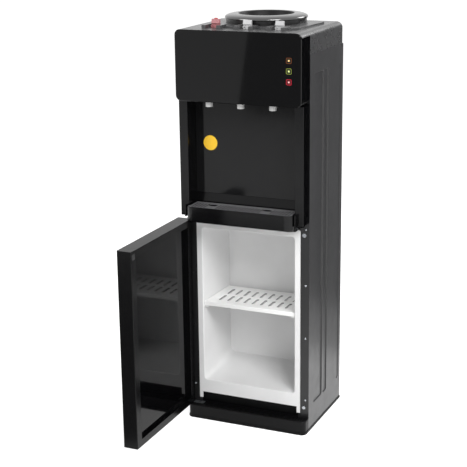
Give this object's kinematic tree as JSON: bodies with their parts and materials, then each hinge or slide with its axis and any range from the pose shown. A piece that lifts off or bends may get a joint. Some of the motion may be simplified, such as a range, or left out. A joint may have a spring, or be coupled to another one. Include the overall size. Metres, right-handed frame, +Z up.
{
  "type": "water dispenser",
  "caption": "Free-standing top-loading water dispenser with hot, room and cold outlets, a drip tray and a shelved storage cabinet behind a side-hung door.",
  "frame": {"origin": "on the floor under the middle of the base", "axes": "+X to the machine's left as one faces away from it, that is to the viewer's right when facing its front; +Y from the front to the back; +Z up"},
  "size_m": [0.338, 0.5526, 0.9898],
  "materials": {
    "black_moulding": "gloss black moulding",
    "black_panel": "high-gloss black panel",
    "black_cover": "gloss black cover",
    "black_base": "satin black moulding",
    "side_paint": "satin dark grey powder coat",
    "jamb_paint": "satin black powder coat",
    "liner_white": "satin white polystyrene",
    "outlet_white": "gloss white plastic",
    "key_grey": "satin pale grey plastic",
    "key_red": "gloss red plastic",
    "lock_red": "gloss red plastic",
    "lens_amber": "translucent amber",
    "lens_green": "translucent green",
    "lens_red": "translucent red",
    "band_rubber": "matte black rubber",
    "galvanised": "galvanised sheet",
    "stainless": "brushed stainless",
    "zinc_screw": "bright zinc",
    "aluminium_raw": "extruded aluminium",
    "foam_white": "expanded foam",
    "mica_band": "mica heater in steel",
    "module_white": "ceramic plate",
    "silicone": "translucent silicone",
    "label_yellow": "vinyl",
    "magnet_black": "ferrite"
  },
  "bodies": {
    "cabinet": {"base_pan": "black_base", "kick_plate": "black_base", "side_panel_left": "side_paint", "side_panel_right": "side_paint", "jamb_screws": "zinc_screw", "strike_plate": "zinc_screw", "door_buffer": "zinc_screw", "front_rail": "galvanised", "rear_panel": "side_paint", "cord_gland": "black_base", "switch_frame": "black_base", "cabinet_liner": "liner_white", "cabinet_shelf": "liner_white", "front_fascia": "black_moulding", "alcove_panel": "black_panel", "head_housing": "black_moulding", "head_panel": "black_panel", "top_cover": "black_cover", "key_axle": "stainless", "cold_tank": "stainless", "tank_jacket": "foam_white", "cold_block": "aluminium_raw", "cooling_module": "module_white", "heat_sink": "aluminium_raw", "fan_frame": "black_base", "hot_tank": "stainless", "heater_band": "mica_band", "thermostats": "black_base", "tank_shelf_upper": "galvanised", "tank_shelf_lower": "galvanised", "power_supply": "galvanised", "hoses": "silicone", "drain_outlet": "outlet_white", "hinge_bracket_bottom": "galvanised", "hinge_bracket_top": "galvanised", "tap_hot": "outlet_white", "tap_room": "outlet_white", "tap_cold": "outlet_white", "lens_heating": "lens_amber", "lens_cooling": "lens_green", "lens_power": "lens_red"},
    "door": {"door_shell": "black_moulding", "door_panel": "black_panel", "door_magnet": "magnet_black"},
    "seat": {"bottle_seat": "black_cover", "seat_band": "band_rubber", "water_probe": "outlet_white"},
    "tray": {"drip_tray": "black_moulding"},
    "grille": {"drip_grille": "black_base"},
    "hot_key": {"key_hot": "key_red"},
    "room_key": {"key_room": "key_grey"},
    "cold_key": {"key_cold": "key_grey"},
    "hot_rod": {"push_rod_hot": "outlet_white"},
    "room_rod": {"push_rod_room": "outlet_white"},
    "cold_rod": {"push_rod_cold": "outlet_white"},
    "lock": {"child_lock": "lock_red"},
    "fan": {"fan_rotor": "black_base"},
    "heating_rocker": {"rocker_heating": "lock_red"},
    "cooling_rocker": {"rocker_cooling": "black_moulding"},
    "cap": {"drain_cap": "black_base"}
  },
  "joints": [
    {"name": "door_hinge", "type": "hinge", "parent": "cabinet", "child": "door", "pos_m": [-0.1495, -0.1085, 0.271], "axis": [0, 0, 1], "range_deg": [-20, 90]},
    {"name": "seat_lift", "type": "slide", "parent": "cabinet", "child": "seat", "axis": [0, 0, 1], "range_m": [0, 0.04]},
    {"name": "tray_slide", "type": "slide", "parent": "cabinet", "child": "tray", "axis": [0, -1, 0], "range_m": [0, 0.06]},
    {"name": "grille_lift", "type": "slide", "parent": "tray", "child": "grille", "axis": [0, 0, 1], "range_m": [0, 0.025]},
    {"name": "lock_slide", "type": "slide", "parent": "hot_key", "child": "lock", "axis": [1, 0, 0], "range_m": [-0.003, 0.003]},
    {"name": "fan_spin", "type": "hinge", "parent": "cabinet", "child": "fan", "pos_m": [0, 0.115, 0.86], "axis": [0, 1, 0], "continuous": true},
    {"name": "cap_unscrew", "type": "slide", "parent": "cabinet", "child": "cap", "axis": [0, 1, 0], "range_m": [0, 0.02]},
    {"name": "hot_press", "type": "hinge", "parent": "cabinet", "child": "hot_key", "pos_m": [-0.079, -0.0895, 0.9575], "axis": [1, 0, 0], "range_deg": [0, 10], "stiffness_Nm_per_rad": 0.6, "springref_deg": -17.19},
    {"name": "hot_rod_travel", "type": "slide", "parent": "cabinet", "child": "hot_rod", "axis": [0, 0, -1], "range_m": [0, 0.0025]},
    {"name": "room_press", "type": "hinge", "parent": "cabinet", "child": "room_key", "pos_m": [0, -0.0895, 0.9575], "axis": [1, 0, 0], "range_deg": [0, 10], "stiffness_Nm_per_rad": 0.6, "springref_deg": -17.19},
    {"name": "room_rod_travel", "type": "slide", "parent": "cabinet", "child": "room_rod", "axis": [0, 0, -1], "range_m": [0, 0.0025]},
    {"name": "cold_press", "type": "hinge", "parent": "cabinet", "child": "cold_key", "pos_m": [0.079, -0.0895, 0.9575], "axis": [1, 0, 0], "range_deg": [0, 10], "stiffness_Nm_per_rad": 0.6, "springref_deg": -17.19},
    {"name": "cold_rod_travel", "type": "slide", "parent": "cabinet", "child": "cold_rod", "axis": [0, 0, -1], "range_m": [0, 0.0025]},
    {"name": "heating_switch", "type": "hinge", "parent": "cabinet", "child": "heating_rocker", "pos_m": [0.112, 0.1241, 0.713], "axis": [1, 0, 0], "range_deg": [0, 10]},
    {"name": "cooling_switch", "type": "hinge", "parent": "cabinet", "child": "cooling_rocker", "pos_m": [0.112, 0.1241, 0.687], "axis": [1, 0, 0], "range_deg": [0, 10]}
  ],
  "couplings": [
    {"joint": "hot_rod_travel", "follows": "hot_press", "m_per_rad": 0.0105},
    {"joint": "room_rod_travel", "follows": "room_press", "m_per_rad": 0.0105},
    {"joint": "cold_rod_travel", "follows": "cold_press", "m_per_rad": 0.0105}
  ]
}
